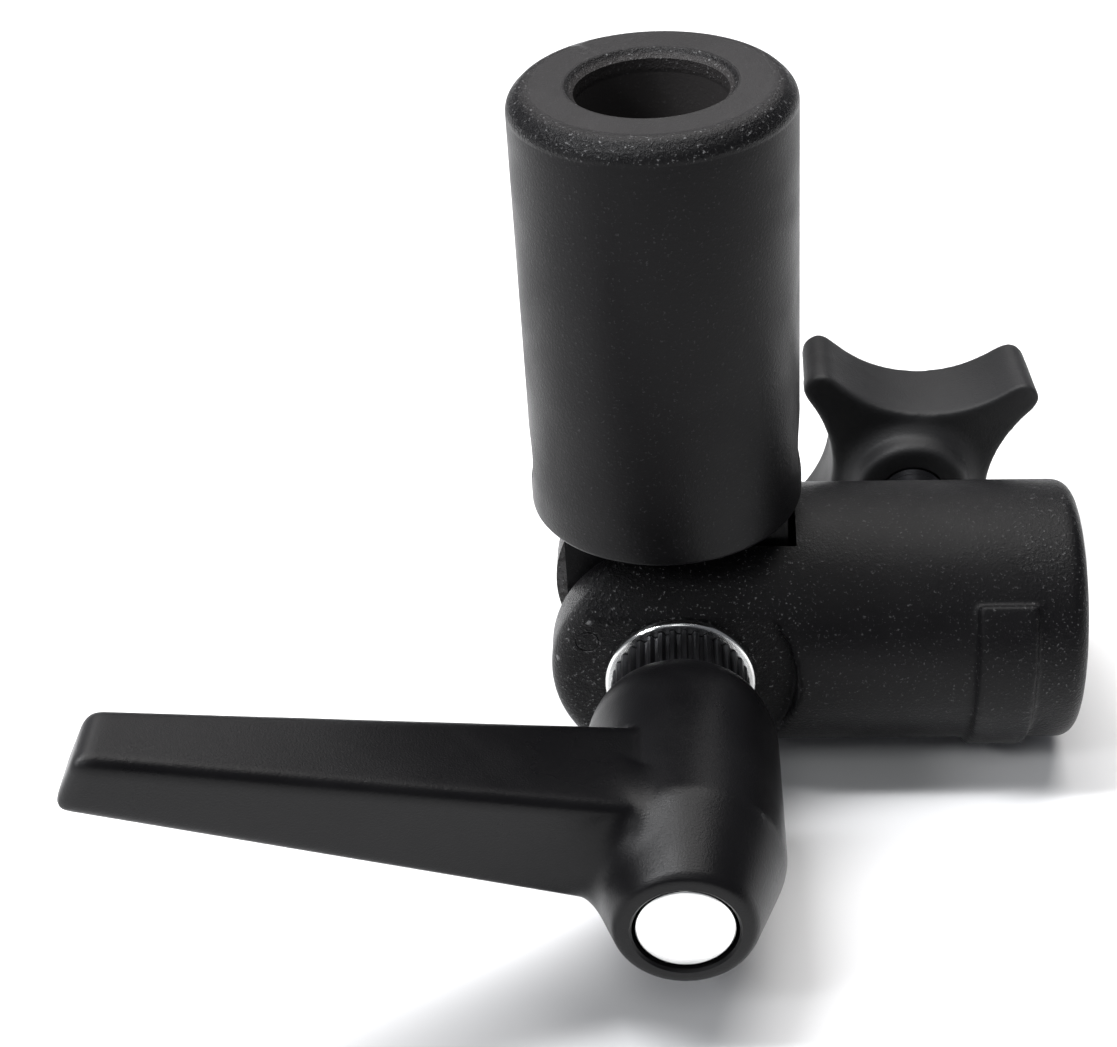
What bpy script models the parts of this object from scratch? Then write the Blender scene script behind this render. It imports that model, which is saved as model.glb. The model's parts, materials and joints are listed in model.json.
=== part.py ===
"""Swivel adapter for stage stands: two 16 mm sockets on a tilting, lever-clamped joint.

Everything is placed from the tilt pivot. X runs along the lower socket towards
its mouth, Y along the pivot towards the back, Z up. Metres throughout.
"""
import math

import bmesh
import bpy
from mathutils import Matrix, Vector

# Where the tilt pivot sits in the part's own frame.
PIVOT = Vector((0.00602, 0.01087, 0.01598))

# Sockets
BARREL_R = 0.0152
SOCKET_R = 0.0081
MOUTH_R = 0.0090
MOUTH_CHAMFER = 0.0009
RIM_ROUND = 0.0021
LOWER_MOUTH = 0.0460
LOWER_FLOOR = 0.0180
UPPER_MOUTH = 0.0676
UPPER_FLOOR = 0.0300
UPPER_BASE = 0.0173
UPPER_FOOT = (0.0154, 0.0232)
UPPER_WAIST = (0.0152, 0.0290)
UPPER_OFFSET = -0.0009
BASE_CHAMFER = 0.0006
LEAN = math.radians(-1.4)

# Clevis and tongue
EAR_R = 0.0148
EAR_FACE = 0.01278
SPOT_FACE_R = 0.0133
SLOT_HALF = 0.0065
SLOT_FLOOR = 0.0133
TONGUE_R = 0.0127
TONGUE_HALF = 0.0054
SLEEVE_BORE_R = 0.0057
UMBRELLA_HEIGHT = 0.0243
UMBRELLA_R = 0.00375
BOLT_HEAD_FLAT = 0.0130
HEX_POCKET_FLOOR = 0.0096

# Blank raised label pad near the lower mouth
PAD_CENTRE_X = 0.0371
PAD_WIDTH = 0.0053
PAD_PROUD = 0.0017
PAD_ANGLES = (math.radians(-62), math.radians(33))

# Pivot hardware
THREAD_R = 0.0040
THREAD_BORE_R = 0.0043
WASHER_R = 0.0086
WASHER_THICK = 0.00125
DISC_R = 0.0118
DISC_THICK = 0.0008
SEAT_GAP = 0.00015
GAP = 0.0003

# Ratchet lever
COLLAR_R = 0.0079
COLLAR_ROOT_R = 0.0073
COLLAR_TEETH = 36
COLLAR_END = 0.0255
INSERT_END = 0.0357
INSERT_PLAIN_R = 0.0070
HUB_R = 0.01065
HUB_BACK = 0.0213
HUB_BACK_R = 0.0094
HUB_SHOULDER = 0.0265
NOSE_START = 0.0450
NOSE_END = 0.0538
NOSE_R = 0.0074
NOSE_BORE_R = 0.00545
HUB_BORE_R = 0.0082
WEB_BACK = 0.0360
WEB_FRONT = 0.0390
WEB_HOLE_R = 0.0031
ARM_LENGTH = 0.0630
ARM_TURN = math.radians(24.8)
ARM_RISE = math.radians(15.5)
ARM_FRONT = 0.0445
ARM_ROOT = (0.0147, 0.0150)
ARM_TIP = (0.0070, 0.0082)
SCREW_R = 0.0025
SCREW_HEAD_R = 0.0046
SCREW_HEAD = (0.0470, 0.0500)
SPRING_MEAN_R = 0.0039
SPRING_WIRE_R = 0.00045
SPRING_TURNS = 4.5

# Clamping knobs: distances along their own axis from the socket's centre line
KNOB_HUB = 0.0240
KNOB_FACE = 0.0275
KNOB_OUTER = 0.0396
KNOB_HUB_R = 0.0072
KNOB_WAIST = 0.0102
KNOB_TIP = 0.0201
KNOB_TIP_HALF = 0.0021
KNOB_HOLLOW_R = 0.0163
KNOB_EDGE = 0.0012
KNOB_TURN = math.radians(4.0)
POCKET_R = 0.0077
POCKET_FLOOR = 0.0325
STUD_HEAD = (0.0327, 0.0377)
CAP_R = 0.0074
CLAMP_TIP_FACE = 0.0084
CLAMP_TIP_R = 0.0033
STUD_START = 0.0107
LOWER_KNOB_X = 0.0299
UPPER_KNOB_Z = 0.0360

BARREL_STEPS = 40
SMALL_STEPS = 24
MERGE = 0.00001

CAST_BLACK = (0.020, 0.020, 0.022)
LEVER_BLACK = (0.017, 0.017, 0.019)
KNOB_BLACK = (0.015, 0.015, 0.016)
STEEL = (0.62, 0.62, 0.60)
BRASS = (0.66, 0.50, 0.24)
FIBRE = (0.10, 0.09, 0.08)

for old in list(bpy.data.objects):
    bpy.data.objects.remove(old, do_unlink=True)

PARTS = bpy.data.collections.new("swivel_adapter")
CUTTERS = bpy.data.collections.new("cutters")
bpy.context.scene.collection.children.link(PARTS)
bpy.context.scene.collection.children.link(CUTTERS)


# ---------------------------------------------------------------- helpers

def empty(name, parent=None, location=(0, 0, 0), turn_y=0.0):
    holder = bpy.data.objects.new(name, None)
    holder.location = location
    holder.rotation_euler = (0, turn_y, 0)
    holder.parent = parent
    PARTS.objects.link(holder)
    return holder


def finish_object(name, mesh, collection):
    made = bpy.data.objects.new(name, mesh)
    collection.objects.link(made)
    if collection is CUTTERS:
        made.hide_render = True
        made.display_type = 'WIRE'
    return made


def arc(centre, radius, start, end, count):
    """Points on an arc, as (a, b) pairs, from one angle to the other."""
    angles = [start + (end - start) * i / count for i in range(count + 1)]
    return [(centre[0] + radius * math.cos(t), centre[1] + radius * math.sin(t)) for t in angles]


def turned(name, profile, steps=SMALL_STEPS, closed=False, collection=PARTS):
    """A turned solid about Z; the profile's outer side runs from top to bottom."""
    mesh = bpy.data.meshes.new(name)
    shape = bmesh.new()
    points = [shape.verts.new((radius, 0, height)) for radius, height in profile]
    for first, second in zip(points, points[1:]):
        shape.edges.new((first, second))
    if closed:
        shape.edges.new((points[-1], points[0]))
    shape.to_mesh(mesh)
    shape.free()
    made = finish_object(name, mesh, collection)
    screw = made.modifiers.new("turn", 'SCREW')
    screw.axis = 'Z'
    screw.angle = math.tau
    screw.steps = steps
    screw.render_steps = steps
    screw.use_merge_vertices = True
    screw.merge_threshold = MERGE
    return made


def rod(name, radius, bottom, top, steps=SMALL_STEPS, collection=PARTS):
    """A solid cylinder about Z."""
    return turned(name, [(0, top), (radius, top), (radius, bottom), (0, bottom)],
                  steps, collection=collection)


def ring(name, inner, outer, bottom, top, steps=SMALL_STEPS):
    """A plain washer or sleeve about Z."""
    profile = [(inner, top), (outer, top), (outer, bottom), (inner, bottom)]
    return turned(name, profile, steps, closed=True)


def hexagon(name, flats, bottom, top, collection=PARTS):
    """A hexagonal bar about Z, flats measured across."""
    mesh = bpy.data.meshes.new(name)
    shape = bmesh.new()
    corner_r = flats / math.sqrt(3)
    lift = Matrix.Translation((0, 0, (top + bottom) / 2))
    bmesh.ops.create_cone(shape, cap_ends=True, segments=6, radius1=corner_r,
                          radius2=corner_r, depth=top - bottom, matrix=lift)
    shape.to_mesh(mesh)
    shape.free()
    return finish_object(name, mesh, collection)


def block(name, low, high, collection=CUTTERS):
    """A box between two corners."""
    mesh = bpy.data.meshes.new(name)
    shape = bmesh.new()
    bmesh.ops.create_cube(shape, size=1.0)
    size = [b - a for a, b in zip(low, high)]
    middle = [(a + b) / 2 for a, b in zip(low, high)]
    bmesh.ops.scale(shape, vec=size, verts=shape.verts)
    bmesh.ops.translate(shape, vec=middle, verts=shape.verts)
    shape.to_mesh(mesh)
    shape.free()
    return finish_object(name, mesh, collection)


def outline(name, points, half, collection=PARTS):
    """A flat outline in its own XY plane, half the thickness to each side."""
    curve = bpy.data.curves.new(name + "_outline", 'CURVE')
    curve.dimensions = '2D'
    curve.fill_mode = 'BOTH'
    curve.extrude = half
    spline = curve.splines.new('POLY')
    spline.points.add(len(points) - 1)
    for point, (across, along) in zip(spline.points, points):
        point.co = (across, along, 0, 1)
    spline.use_cyclic_u = True
    drawn = bpy.data.objects.new(name + "_outline", curve)
    PARTS.objects.link(drawn)
    bpy.context.view_layer.update()
    evaluated = drawn.evaluated_get(bpy.context.evaluated_depsgraph_get())
    mesh = bpy.data.meshes.new_from_object(evaluated)
    bpy.data.objects.remove(drawn, do_unlink=True)
    shape = bmesh.new()
    shape.from_mesh(mesh)
    bmesh.ops.remove_doubles(shape, verts=shape.verts, dist=MERGE)
    bmesh.ops.recalc_face_normals(shape, faces=shape.faces)
    shape.to_mesh(mesh)
    shape.free()
    mesh.name = name
    mesh.materials.clear()
    return finish_object(name, mesh, collection)


def face(made, direction):
    """Turn a piece made about Z so that its axis points along X, -Y or +Y."""
    turns = {'X': (0, math.radians(90), 0),
             'BACK': (math.radians(-90), 0, 0),
             'FRONT': (math.radians(90), 0, 0)}
    made.rotation_euler = turns[direction]
    return made


def boolean(made, other, operation):
    step = made.modifiers.new(other.name, 'BOOLEAN')
    step.operation = operation
    step.solver = 'EXACT'
    step.object = other


def cut(made, cutter):
    boolean(made, cutter, 'DIFFERENCE')


def join(made, addition):
    boolean(made, addition, 'UNION')


def bevel(made, width, segments=2, angle=30):
    step = made.modifiers.new("edges", 'BEVEL')
    step.width = width
    step.segments = segments
    step.limit_method = 'ANGLE'
    step.angle_limit = math.radians(angle)
    step.use_clamp_overlap = True


def finish(made, parent, colour, roughness, metallic):
    """Parent the piece and give it its own material."""
    made.parent = parent
    material = bpy.data.materials.new(made.name)
    material.use_nodes = True
    shader = material.node_tree.nodes["Principled BSDF"]
    shader.inputs["Base Color"].default_value = (*colour, 1)
    shader.inputs["Roughness"].default_value = roughness
    shader.inputs["Metallic"].default_value = metallic
    made.data.materials.append(material)
    return made


def socket_profile(mouth, floor, base, outside):
    """Half section of a blind socket: up the bore, over the rim, down the outside."""
    rim = arc((BARREL_R - RIM_ROUND, mouth - RIM_ROUND), RIM_ROUND, math.radians(90), 0, 3)
    inside = [(0, floor), (SOCKET_R, floor), (SOCKET_R, mouth - MOUTH_CHAMFER), (MOUTH_R, mouth)]
    foot_r = outside[-1][0]
    foot = [(foot_r, base + BASE_CHAMFER), (foot_r - BASE_CHAMFER, base), (0, base)]
    return inside + rim + outside + foot


# ------------------------------------------------------------ the castings

def label_pad():
    """The blank raised pad, a stretch of a ring about the lower socket's axis."""
    outer = BARREL_R + PAD_PROUD
    inner = BARREL_R - PAD_PROUD
    low, high = PAD_ANGLES
    outer_arc = arc((0, 0), outer, low, high, 12)
    points = outer_arc + arc((0, 0), inner, high, low, 12)
    pad = outline("pad_shape", points, PAD_WIDTH / 2, CUTTERS)
    bevel(pad, 0.0009, 2)
    # The outline's own X points to the front, its Y up and its thickness along X.
    pad.matrix_world = Matrix(((0, 0, 1, PAD_CENTRE_X), (-1, 0, 0, 0), (0, 1, 0, 0), (0, 0, 0, 1)))
    return pad


def lower_socket(pivot):
    """Socket barrel along X whose far end is slotted and flattened into a clevis."""
    middle = [(BARREL_R, 0.0)]
    profile = socket_profile(LOWER_MOUTH, LOWER_FLOOR, -EAR_R - 0.001, middle)
    body = face(turned("lower_socket", profile, BARREL_STEPS), 'X')
    ear_arc = arc((0, 0), EAR_R, math.radians(90), math.radians(270), 24)
    reach = LOWER_MOUTH + 0.001
    tall = BARREL_R + 0.003
    end_points = ear_arc + [(0.001, -tall), (reach, -tall), (reach, tall), (0.001, tall)]
    end_form = outline("ear_end", end_points, BARREL_R + 0.002, CUTTERS)
    end_form.rotation_euler = (math.radians(90), 0, 0)
    boolean(body, end_form, 'INTERSECT')
    join(body, label_pad())
    far = BARREL_R + 0.004
    for side, word in ((-1, "front"), (1, "back")):
        low_y, high_y = sorted((side * EAR_FACE, side * far))
        cut(body, block("ear_flat_" + word, (-far, low_y, -far), (0, high_y, far)))
        spot = rod("spot_face_" + word, SPOT_FACE_R, low_y, high_y, BARREL_STEPS, CUTTERS)
        cut(body, face(spot, 'BACK'))
    cut(body, block("slot", (-far, -SLOT_HALF, -far), (SLOT_FLOOR, SLOT_HALF, far)))
    pivot_hole = rod("ear_holes", THREAD_BORE_R, -far, far, SMALL_STEPS, CUTTERS)
    cut(body, face(pivot_hole, 'BACK'))
    pocket = hexagon("bolt_pocket", BOLT_HEAD_FLAT + 2 * GAP, HEX_POCKET_FLOOR, far, CUTTERS)
    cut(body, face(pocket, 'BACK'))
    screw_hole = rod("lower_screw_hole", THREAD_BORE_R, 0.004, far, SMALL_STEPS, CUTTERS)
    screw_hole.location = (LOWER_KNOB_X, 0, 0)
    cut(body, face(screw_hole, 'BACK'))
    return finish(body, pivot, CAST_BLACK, 0.5, 0.3)


def upper_socket(tilt):
    """Upright socket barrel with a tongue below, crossed by the umbrella hole."""
    profile = socket_profile(UPPER_MOUTH, UPPER_FLOOR, UPPER_BASE, [UPPER_WAIST, UPPER_FOOT])
    body = turned("upper_socket", profile, BARREL_STEPS)
    body.location = (UPPER_OFFSET, 0, 0)
    overlap = UPPER_BASE + 0.003
    round_end = arc((0, 0), TONGUE_R, math.pi, math.tau, 24)
    tongue = outline("tongue", round_end + [(TONGUE_R, overlap), (-TONGUE_R, overlap)],
                     TONGUE_HALF, CUTTERS)
    tongue.rotation_euler = (math.radians(90), 0, 0)
    tongue.parent = tilt
    join(body, tongue)
    sleeve_hole = face(rod("sleeve_hole", SLEEVE_BORE_R, -0.01, 0.01, SMALL_STEPS, CUTTERS), 'BACK')
    sleeve_hole.parent = tilt
    cut(body, sleeve_hole)
    reach = BARREL_R + 0.003
    umbrella = face(rod("umbrella_hole", UMBRELLA_R, -reach, reach, SMALL_STEPS, CUTTERS), 'X')
    umbrella.location = (UPPER_OFFSET, 0, UMBRELLA_HEIGHT)
    umbrella.parent = tilt
    cut(body, umbrella)
    screw_hole = rod("upper_screw_hole", THREAD_BORE_R, 0.004, reach, SMALL_STEPS, CUTTERS)
    face(screw_hole, 'BACK').location = (UPPER_OFFSET, 0, UPPER_KNOB_Z)
    screw_hole.parent = tilt
    cut(body, screw_hole)
    return finish(body, tilt, CAST_BLACK, 0.5, 0.3)


# --------------------------------------------------------- the pivot stack

def pivot_bolt(pivot):
    """Hexagon-headed bolt, its head held in the back ear's pocket."""
    head = hexagon("pivot_bolt", BOLT_HEAD_FLAT, HEX_POCKET_FLOOR + SEAT_GAP,
                   HEX_POCKET_FLOOR + SEAT_GAP + 0.0053)
    shank = rod("bolt_shank", THREAD_R, -0.0275, HEX_POCKET_FLOOR + 0.001, SMALL_STEPS, CUTTERS)
    face(head, 'BACK')
    face(shank, 'BACK')
    shank.parent = pivot
    join(head, shank)
    return finish(head, pivot, STEEL, 0.3, 1.0)


def friction_discs(pivot):
    low = TONGUE_HALF + SEAT_GAP
    for side, word in ((-1, "front"), (1, "back")):
        bottom, top = sorted((side * low, side * (low + DISC_THICK)))
        disc = face(ring("friction_disc_" + word, THREAD_BORE_R, DISC_R, bottom, top), 'BACK')
        finish(disc, pivot, FIBRE, 0.8, 0.0)


def pivot_sleeve(tilt):
    sleeve = ring("pivot_sleeve", THREAD_BORE_R, SLEEVE_BORE_R - GAP, -0.0052, 0.0052)
    return finish(face(sleeve, 'BACK'), tilt, BRASS, 0.4, 1.0)


def front_washer(pivot):
    low = EAR_FACE + SEAT_GAP
    washer = ring("front_washer", THREAD_BORE_R, WASHER_R, low, low + WASHER_THICK, BARREL_STEPS)
    return finish(face(washer, 'FRONT'), pivot, STEEL, 0.2, 1.0)


def ratchet_insert(pivot):
    """Threaded steel core: toothed collar, plain neck, bored from both ends."""
    start = EAR_FACE + WASHER_THICK + 2 * SEAT_GAP
    points = []
    for tooth in range(COLLAR_TEETH):
        for share, radius in ((0.0, COLLAR_ROOT_R), (0.35, COLLAR_ROOT_R),
                              (0.5, COLLAR_R), (0.85, COLLAR_R)):
            angle = math.tau * (tooth + share) / COLLAR_TEETH
            points.append((radius * math.cos(angle), radius * math.sin(angle)))
    collar = outline("ratchet_insert", points, (COLLAR_END - start) / 2)
    face(collar, 'FRONT').location = (0, -(COLLAR_END + start) / 2, 0)
    neck = face(rod("insert_neck", INSERT_PLAIN_R, COLLAR_END - 0.002, INSERT_END,
                    SMALL_STEPS, CUTTERS), 'FRONT')
    bolt_bore = face(rod("insert_bolt_bore", THREAD_BORE_R, start - 0.002, 0.0285,
                         SMALL_STEPS, CUTTERS), 'FRONT')
    screw_bore = face(rod("insert_screw_bore", SCREW_R + GAP, 0.0300, INSERT_END + 0.002,
                          SMALL_STEPS, CUTTERS), 'FRONT')
    for shape in (neck, bolt_bore, screw_bore):
        shape.parent = pivot
    join(collar, neck)
    cut(collar, bolt_bore)
    cut(collar, screw_bore)
    return finish(collar, pivot, STEEL, 0.45, 1.0)


# ------------------------------------------------------- the ratchet lever

def arm_form(pivot):
    """Tapering bar that leaves the hub sideways and rises away from the sockets."""
    bar = block("arm_form", (0, -0.5, -0.5), (1, 0.5, 0.5))
    for vertex in bar.data.vertices:
        share = vertex.co.x
        across, deep = [a + (b - a) * share for a, b in zip(ARM_ROOT, ARM_TIP)]
        along = ARM_LENGTH * share
        front = ARM_FRONT + along * math.tan(ARM_RISE)
        depth = front - (deep if vertex.co.z < 0 else 0.0)
        # In the hub's own frame Z runs out along the pivot, X along the arm.
        vertex.co = (along, across * vertex.co.y, depth)
    bevel(bar, 0.0016, 2, 40)
    bar.parent = pivot
    return bar


def clamp_lever(pivot):
    """Cast hub with a conical nose and a tapering arm, hollow for its insert and spring."""
    drop = HUB_SHOULDER - HUB_BACK
    swing = 2 * math.atan2(HUB_R - HUB_BACK_R, drop)
    sweep_r = drop / math.sin(swing)
    shoulder = arc((HUB_R - sweep_r, HUB_SHOULDER), sweep_r, 0, -swing, 4)
    profile = [(0, NOSE_END), (NOSE_R - 0.0004, NOSE_END), (NOSE_R, NOSE_END - 0.0004),
               (HUB_R - 0.0003, NOSE_START), (HUB_R, NOSE_START - 0.001)]
    profile += shoulder + [(0, HUB_BACK)]
    hub = face(turned("clamp_lever", profile, 40), 'FRONT')
    arm = arm_form(pivot)
    # The arm points to -X and is turned about the pivot by ARM_TURN.
    turn = Matrix.Rotation(ARM_TURN, 4, 'Y') @ Matrix.Rotation(math.pi, 4, 'Y')
    arm.matrix_local = turn @ Matrix.Rotation(math.radians(90), 4, 'X')
    join(hub, arm)
    bore = [(0, NOSE_END + 0.002), (NOSE_BORE_R, NOSE_END + 0.002), (NOSE_BORE_R, WEB_FRONT),
            (WEB_HOLE_R, WEB_FRONT), (WEB_HOLE_R, WEB_BACK), (HUB_BORE_R, WEB_BACK),
            (HUB_BORE_R, HUB_BACK - 0.002), (0, HUB_BACK - 0.002)]
    hollow = face(turned("lever_bore", bore, SMALL_STEPS, collection=CUTTERS), 'FRONT')
    hollow.parent = pivot
    cut(hub, hollow)
    return finish(hub, pivot, LEVER_BLACK, 0.42, 0.2)


def retaining_screw(pivot):
    head_low, head_high = SCREW_HEAD
    profile = [(0, head_high), (SCREW_HEAD_R - 0.0003, head_high),
               (SCREW_HEAD_R, head_high - 0.0003), (SCREW_HEAD_R, head_low),
               (SCREW_R, head_low), (SCREW_R, 0.0303), (0, 0.0303)]
    return finish(face(turned("retaining_screw", profile), 'FRONT'), pivot, STEEL, 0.3, 1.0)


def nose_cap(pivot):
    """Bright plug closing the lever's nose."""
    radius = NOSE_BORE_R - GAP
    low, high = NOSE_END - 0.0018, NOSE_END - 0.0003
    profile = [(0, high), (radius - 0.0002, high), (radius, high - 0.0002), (radius, low), (0, low)]
    return finish(face(turned("nose_cap", profile), 'FRONT'), pivot, STEEL, 0.25, 1.0)


def lever_spring(pivot):
    """Coil spring round the retaining screw, under its head."""
    low = WEB_FRONT + SPRING_WIRE_R + GAP
    high = SCREW_HEAD[0] - SPRING_WIRE_R - GAP
    count = int(SPRING_TURNS * 14)
    curve = bpy.data.curves.new("lever_spring", 'CURVE')
    curve.dimensions = '3D'
    curve.bevel_depth = SPRING_WIRE_R
    curve.bevel_resolution = 1
    curve.use_fill_caps = True
    spline = curve.splines.new('POLY')
    spline.points.add(count)
    for index, point in enumerate(spline.points):
        angle = math.tau * SPRING_TURNS * index / count
        height = low + (high - low) * index / count
        point.co = (SPRING_MEAN_R * math.cos(angle), SPRING_MEAN_R * math.sin(angle), height, 1)
    spring = bpy.data.objects.new("lever_spring", curve)
    PARTS.objects.link(spring)
    return finish(face(spring, 'FRONT'), pivot, STEEL, 0.3, 1.0)


# ------------------------------------------------------ the clamping knobs

def star_points():
    """Four lobes at the diagonals, joined by hollows; about the knob's axis."""
    lobe_r = math.hypot(KNOB_TIP - 0.0007, KNOB_TIP_HALF)
    lobe_half = math.atan2(KNOB_TIP_HALF, KNOB_TIP - 0.0007)
    centre = KNOB_WAIST + KNOB_HOLLOW_R
    points = []
    for quarter in range(4):
        lobe = math.radians(45 + 90 * quarter) + KNOB_TURN
        for edge, radius in ((-1, lobe_r), (-0.55, KNOB_TIP), (0.55, KNOB_TIP)):
            angle = lobe + edge * lobe_half
            points.append((radius * math.cos(angle), radius * math.sin(angle)))
        start_angle = math.pi / 4 - lobe_half
        reach = Vector((lobe_r * math.cos(start_angle) - centre, lobe_r * math.sin(start_angle)))
        sweep = math.pi - math.atan2(reach.y, reach.x)
        hollow = lobe + math.radians(45)
        middle = (centre * math.cos(hollow), centre * math.sin(hollow))
        first = hollow + math.pi + sweep
        points += arc(middle, reach.length, first, first - 2 * sweep, 8)[:-1]
    return points


def knob_set(name, holder):
    """Knob, stud with its moulded-in hexagon head, end cap and brass clamp tip."""
    knob = outline(name + "_knob", star_points(), (KNOB_OUTER - KNOB_FACE) / 2)
    bevel(knob, KNOB_EDGE, 2, 50)
    face(knob, 'BACK').location = (0, (KNOB_OUTER + KNOB_FACE) / 2, 0)
    hub_profile = [(0, KNOB_FACE + 0.002), (KNOB_HUB_R + 0.0011, KNOB_FACE + 0.002),
                   (KNOB_HUB_R + 0.0011, KNOB_FACE), (KNOB_HUB_R + 0.0003, KNOB_FACE - 0.0007),
                   (KNOB_HUB_R, KNOB_HUB + 0.0005), (KNOB_HUB_R - 0.0005, KNOB_HUB), (0, KNOB_HUB)]
    hub = face(turned(name + "_knob_hub", hub_profile, SMALL_STEPS, collection=CUTTERS), 'BACK')
    bore_profile = [(0, KNOB_OUTER + 0.002), (POCKET_R, KNOB_OUTER + 0.002),
                    (POCKET_R, POCKET_FLOOR), (THREAD_BORE_R, POCKET_FLOOR),
                    (THREAD_BORE_R, KNOB_HUB - 0.002), (0, KNOB_HUB - 0.002)]
    bore = face(turned(name + "_knob_bore", bore_profile, SMALL_STEPS, collection=CUTTERS), 'BACK')
    join(knob, hub)
    cut(knob, bore)
    finish(knob, holder, KNOB_BLACK, 0.55, 0.0)

    stud = face(hexagon(name + "_stud", 0.0126, *STUD_HEAD), 'BACK')
    shank = face(rod(name + "_stud_shank", THREAD_R, STUD_START, STUD_HEAD[0] + 0.001,
                     SMALL_STEPS, CUTTERS), 'BACK')
    tip_hole = face(rod(name + "_tip_hole", 0.0019, STUD_START - 0.002, STUD_START + 0.0035,
                        16, CUTTERS), 'BACK')
    join(stud, shank)
    cut(stud, tip_hole)
    finish(stud, holder, STEEL, 0.3, 1.0)

    cap_profile = [(0, KNOB_OUTER + 0.0002), (CAP_R - 0.0012, KNOB_OUTER + 0.0001),
                   (CAP_R, KNOB_OUTER - 0.0005), (CAP_R, STUD_HEAD[1] + GAP),
                   (0, STUD_HEAD[1] + GAP)]
    cap = turned(name + "_knob_cap", cap_profile)
    finish(face(cap, 'BACK'), holder, KNOB_BLACK, 0.5, 0.0)

    tip_profile = [(0, STUD_START + 0.0030), (0.0016, STUD_START + 0.0030),
                   (0.0016, STUD_START - GAP), (CLAMP_TIP_R, STUD_START - GAP),
                   (CLAMP_TIP_R, CLAMP_TIP_FACE + 0.0004),
                   (CLAMP_TIP_R - 0.0004, CLAMP_TIP_FACE), (0, CLAMP_TIP_FACE)]
    tip = turned(name + "_clamp_tip", tip_profile, 24)
    finish(face(tip, 'BACK'), holder, BRASS, 0.35, 1.0)
    for shape in (hub, bore, shank, tip_hole):
        shape.parent = holder


pivot_holder = empty("tilt_pivot", None, PIVOT)
tilt_holder = empty("upper_tilt", pivot_holder, (0, 0, 0), LEAN)
lower_knob_holder = empty("lower_knob_axis", pivot_holder, (LOWER_KNOB_X, 0, 0))
upper_knob_holder = empty("upper_knob_axis", tilt_holder, (UPPER_OFFSET, 0, UPPER_KNOB_Z))

lower_socket(pivot_holder)
upper_socket(tilt_holder)
pivot_bolt(pivot_holder)
friction_discs(pivot_holder)
pivot_sleeve(tilt_holder)
front_washer(pivot_holder)
ratchet_insert(pivot_holder)
clamp_lever(pivot_holder)
retaining_screw(pivot_holder)
nose_cap(pivot_holder)
lever_spring(pivot_holder)
knob_set("lower", lower_knob_holder)
knob_set("upper", upper_knob_holder)

# The lower socket's cutters stand at the pivot too.
for shape in CUTTERS.objects:
    if shape.parent is None:
        shape.parent = pivot_holder
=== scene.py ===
"""A swivel adapter for stage stands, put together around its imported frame. Metres, +Z up."""
import json
import math

import bmesh
import bpy
import numpy
from mathutils import Matrix, Vector


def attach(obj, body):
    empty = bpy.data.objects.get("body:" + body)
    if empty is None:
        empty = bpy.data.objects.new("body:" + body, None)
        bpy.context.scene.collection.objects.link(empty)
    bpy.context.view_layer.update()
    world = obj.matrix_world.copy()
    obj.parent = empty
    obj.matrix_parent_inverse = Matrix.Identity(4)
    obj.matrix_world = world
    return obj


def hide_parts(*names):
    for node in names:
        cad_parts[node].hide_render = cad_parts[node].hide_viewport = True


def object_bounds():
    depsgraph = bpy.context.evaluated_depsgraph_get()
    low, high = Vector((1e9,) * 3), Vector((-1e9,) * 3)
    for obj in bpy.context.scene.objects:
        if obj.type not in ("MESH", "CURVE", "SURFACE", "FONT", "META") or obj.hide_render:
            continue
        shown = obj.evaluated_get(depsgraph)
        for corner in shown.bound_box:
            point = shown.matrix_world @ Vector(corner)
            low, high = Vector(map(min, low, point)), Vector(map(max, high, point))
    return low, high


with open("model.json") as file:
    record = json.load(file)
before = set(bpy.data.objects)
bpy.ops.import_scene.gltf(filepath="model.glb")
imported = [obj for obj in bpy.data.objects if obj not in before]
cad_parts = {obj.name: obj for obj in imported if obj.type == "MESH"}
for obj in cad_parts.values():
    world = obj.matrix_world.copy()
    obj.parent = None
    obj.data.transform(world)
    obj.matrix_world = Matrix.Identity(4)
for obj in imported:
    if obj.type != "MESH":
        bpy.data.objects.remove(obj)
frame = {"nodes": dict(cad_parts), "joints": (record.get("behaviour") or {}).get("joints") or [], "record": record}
cad_low, cad_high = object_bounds()


# ---- The view and the stage ----
# A pale table top under soft studio light: a wide softbox overhead, a long narrow one on the
# left, smaller ones in front and behind, and a dim room, so that black castings keep their depth.
joint_at = {joint["name"]: joint for joint in frame["joints"]}
pivot = Vector(joint_at["tilt"]["pos_m"])

VIEW_TURN = math.radians(3.082)
VIEW_RISE = math.radians(34.378)
VIEW_ROLL = math.radians(-2.371)
VIEW_DISTANCE = 0.266684
VIEW_LENS = 73.94
VIEW_TARGET = pivot + Vector((-0.013915, 0.0, 0.012746))
NEAREST = 0.01
LIT_HEIGHT = 0.02
TABLE_SIZE = 4.0
TABLE_GAP = 0.0002


def aim_camera():
    """Looks along the view direction at the target, rolled a little."""
    rise = math.cos(VIEW_RISE)
    back = Vector((math.sin(VIEW_TURN) * rise, -math.cos(VIEW_TURN) * rise, math.sin(VIEW_RISE)))
    level = Vector((math.cos(VIEW_TURN), math.sin(VIEW_TURN), 0.0))
    over = back.cross(level)
    right = math.cos(VIEW_ROLL) * level + math.sin(VIEW_ROLL) * over
    up = back.cross(right)
    camera = bpy.data.objects.new("camera", bpy.data.cameras.new("camera"))
    turned = Matrix((right, up, back)).transposed().to_4x4()
    camera.matrix_world = Matrix.Translation(VIEW_TARGET + back * VIEW_DISTANCE) @ turned
    camera.data.lens = VIEW_LENS
    camera.data.clip_start = NEAREST
    bpy.context.scene.collection.objects.link(camera)
    bpy.context.scene.camera = camera


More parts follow.
